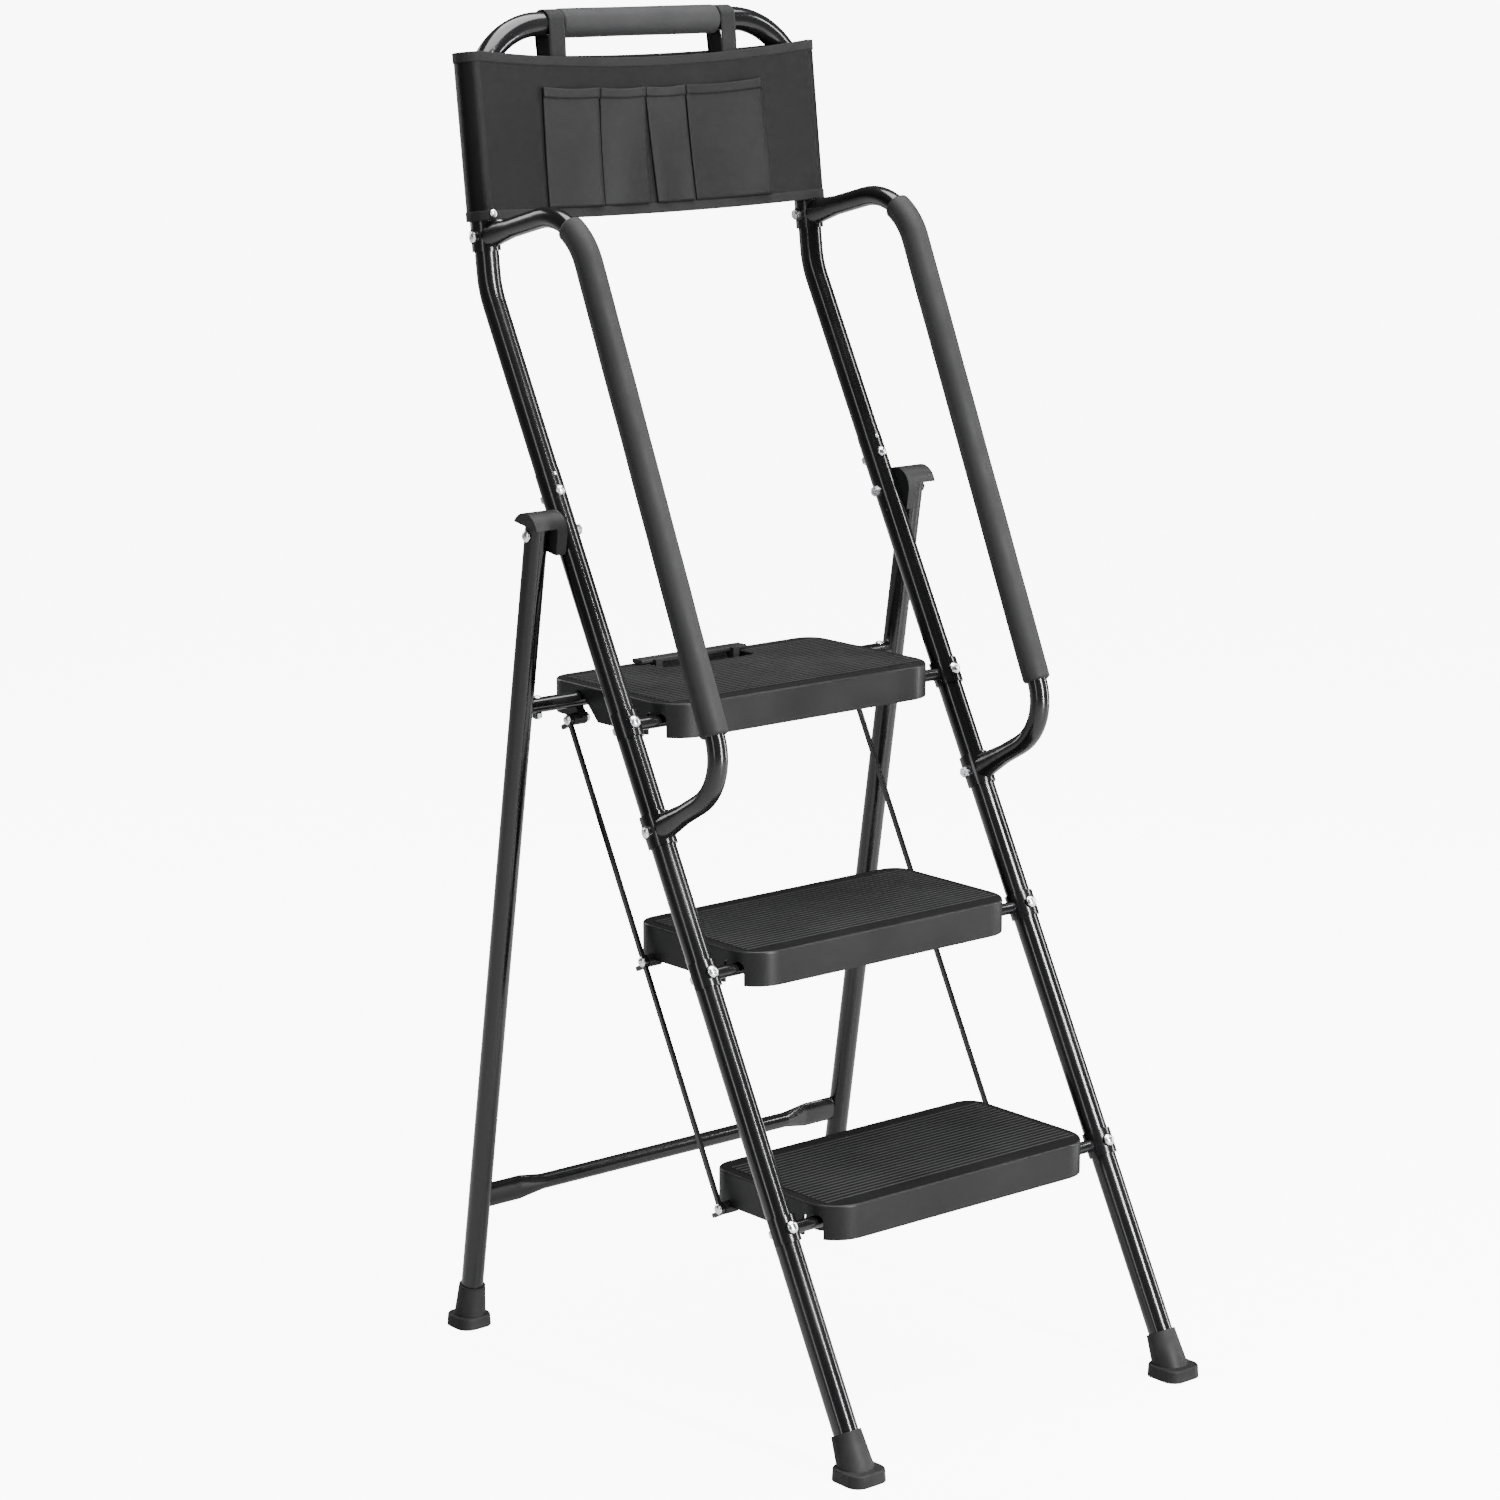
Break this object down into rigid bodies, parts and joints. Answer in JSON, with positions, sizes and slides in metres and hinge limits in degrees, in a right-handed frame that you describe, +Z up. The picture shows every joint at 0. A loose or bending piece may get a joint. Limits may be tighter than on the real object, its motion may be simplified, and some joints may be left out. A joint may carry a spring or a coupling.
{
  "type": "folding step ladder",
  "caption": "Folding step ladder with flat treads, round steel frame, tall padded hand frame with side handrails, and a fabric tool bag at the top.",
  "frame": {"origin": "on the floor at the middle of the object's plan, which is the bottom centre of its bounding box", "axes": "+Z up, +Y to the rear (the climber stands on the -Y side and faces +Y), +X to the climber's right"},
  "size_m": [0.552, 0.652, 1.4015],
  "materials": {
    "frame_paint": "gloss black powder coat",
    "step_plastic": "satin black, moulded",
    "grip_foam": "fine closed-cell foam, dark grey",
    "foot_rubber": "matt black",
    "bag_cloth": "black coated cloth",
    "strap_webbing": "black webbing",
    "bright_steel": "bright zinc plate"
  },
  "bodies": {
    "front_frame": {"lower_rail_left": "frame_paint", "lower_rail_right": "frame_paint", "hand_frame": "frame_paint", "cross_tube_top": "frame_paint", "cross_tube_middle": "frame_paint", "cross_tube_bottom": "frame_paint", "handrail_left": "frame_paint", "handrail_right": "frame_paint", "joint_bolts": "bright_steel", "joint_nuts": "bright_steel", "seam_buttons": "bright_steel", "cross_tube_bolts": "bright_steel", "cross_tube_nuts": "bright_steel", "handrail_bolts": "bright_steel", "handrail_nuts": "bright_steel", "hinge_bolts": "bright_steel", "hinge_nuts": "bright_steel", "bag_stud": "bright_steel", "handrail_grip_left": "grip_foam", "handrail_grip_right": "grip_foam", "top_grip": "grip_foam", "front_foot_left": "foot_rubber", "front_foot_right": "foot_rubber", "bag_body": "bag_cloth", "bag_pockets": "bag_cloth", "bag_straps": "strap_webbing"},
    "top_step": {"step_top": "step_plastic", "link_screws_top": "bright_steel", "link_nuts_top": "bright_steel", "latch_pins": "bright_steel"},
    "latch": {"latch_lever": "step_plastic"},
    "middle_step": {"step_middle": "step_plastic", "link_screws_middle": "bright_steel", "link_nuts_middle": "bright_steel"},
    "bottom_step": {"step_bottom": "step_plastic", "link_screws_bottom": "bright_steel", "link_nuts_bottom": "bright_steel"},
    "left_link": {"link_bar_left": "frame_paint"},
    "right_link": {"link_bar_right": "frame_paint"},
    "rear_frame": {"rear_leg_left": "frame_paint", "rear_leg_right": "frame_paint", "rear_crossbar_upper": "frame_paint", "rear_crossbar_lower": "frame_paint", "hinge_cap_left": "step_plastic", "hinge_cap_right": "step_plastic", "crossbar_bolts": "bright_steel", "crossbar_nuts": "bright_steel", "rear_foot_left": "foot_rubber", "rear_foot_right": "foot_rubber"}
  },
  "joints": [
    {"name": "step_fold", "type": "hinge", "parent": "front_frame", "child": "top_step", "pos_m": [0, 0.05595, 0.6955], "axis": [1, 0, 0], "range_deg": [0, 48]},
    {"name": "middle_step_fold", "type": "hinge", "parent": "front_frame", "child": "middle_step", "pos_m": [0, -0.06638, 0.4605], "axis": [1, 0, 0], "range_deg": [0, 48]},
    {"name": "bottom_step_fold", "type": "hinge", "parent": "front_frame", "child": "bottom_step", "pos_m": [0, -0.18871, 0.2255], "axis": [1, 0, 0], "range_deg": [0, 48]},
    {"name": "left_link_turn", "type": "hinge", "parent": "top_step", "child": "left_link", "pos_m": [-0.192, 0.18695, 0.6785], "axis": [1, 0, 0], "range_deg": [-48, 0]},
    {"name": "right_link_turn", "type": "hinge", "parent": "top_step", "child": "right_link", "pos_m": [0.192, 0.18695, 0.6785], "axis": [1, 0, 0], "range_deg": [-48, 0]},
    {"name": "rear_frame_fold", "type": "hinge", "parent": "front_frame", "child": "rear_frame", "pos_m": [0, 0.15356, 0.883], "axis": [1, 0, 0], "range_deg": [-25.92, 0]},
    {"name": "latch_lift", "type": "hinge", "parent": "top_step", "child": "latch", "pos_m": [0, 0.21595, 0.705], "axis": [1, 0, 0], "range_deg": [0, 12], "stiffness_Nm_per_rad": 0.3}
  ],
  "couplings": [
    {"joint": "middle_step_fold", "follows": "step_fold", "ratio": 1},
    {"joint": "bottom_step_fold", "follows": "step_fold", "ratio": 1},
    {"joint": "left_link_turn", "follows": "step_fold", "ratio": -1},
    {"joint": "right_link_turn", "follows": "step_fold", "ratio": -1},
    {"joint": "rear_frame_fold", "follows": "step_fold", "ratio": -0.54}
  ]
}
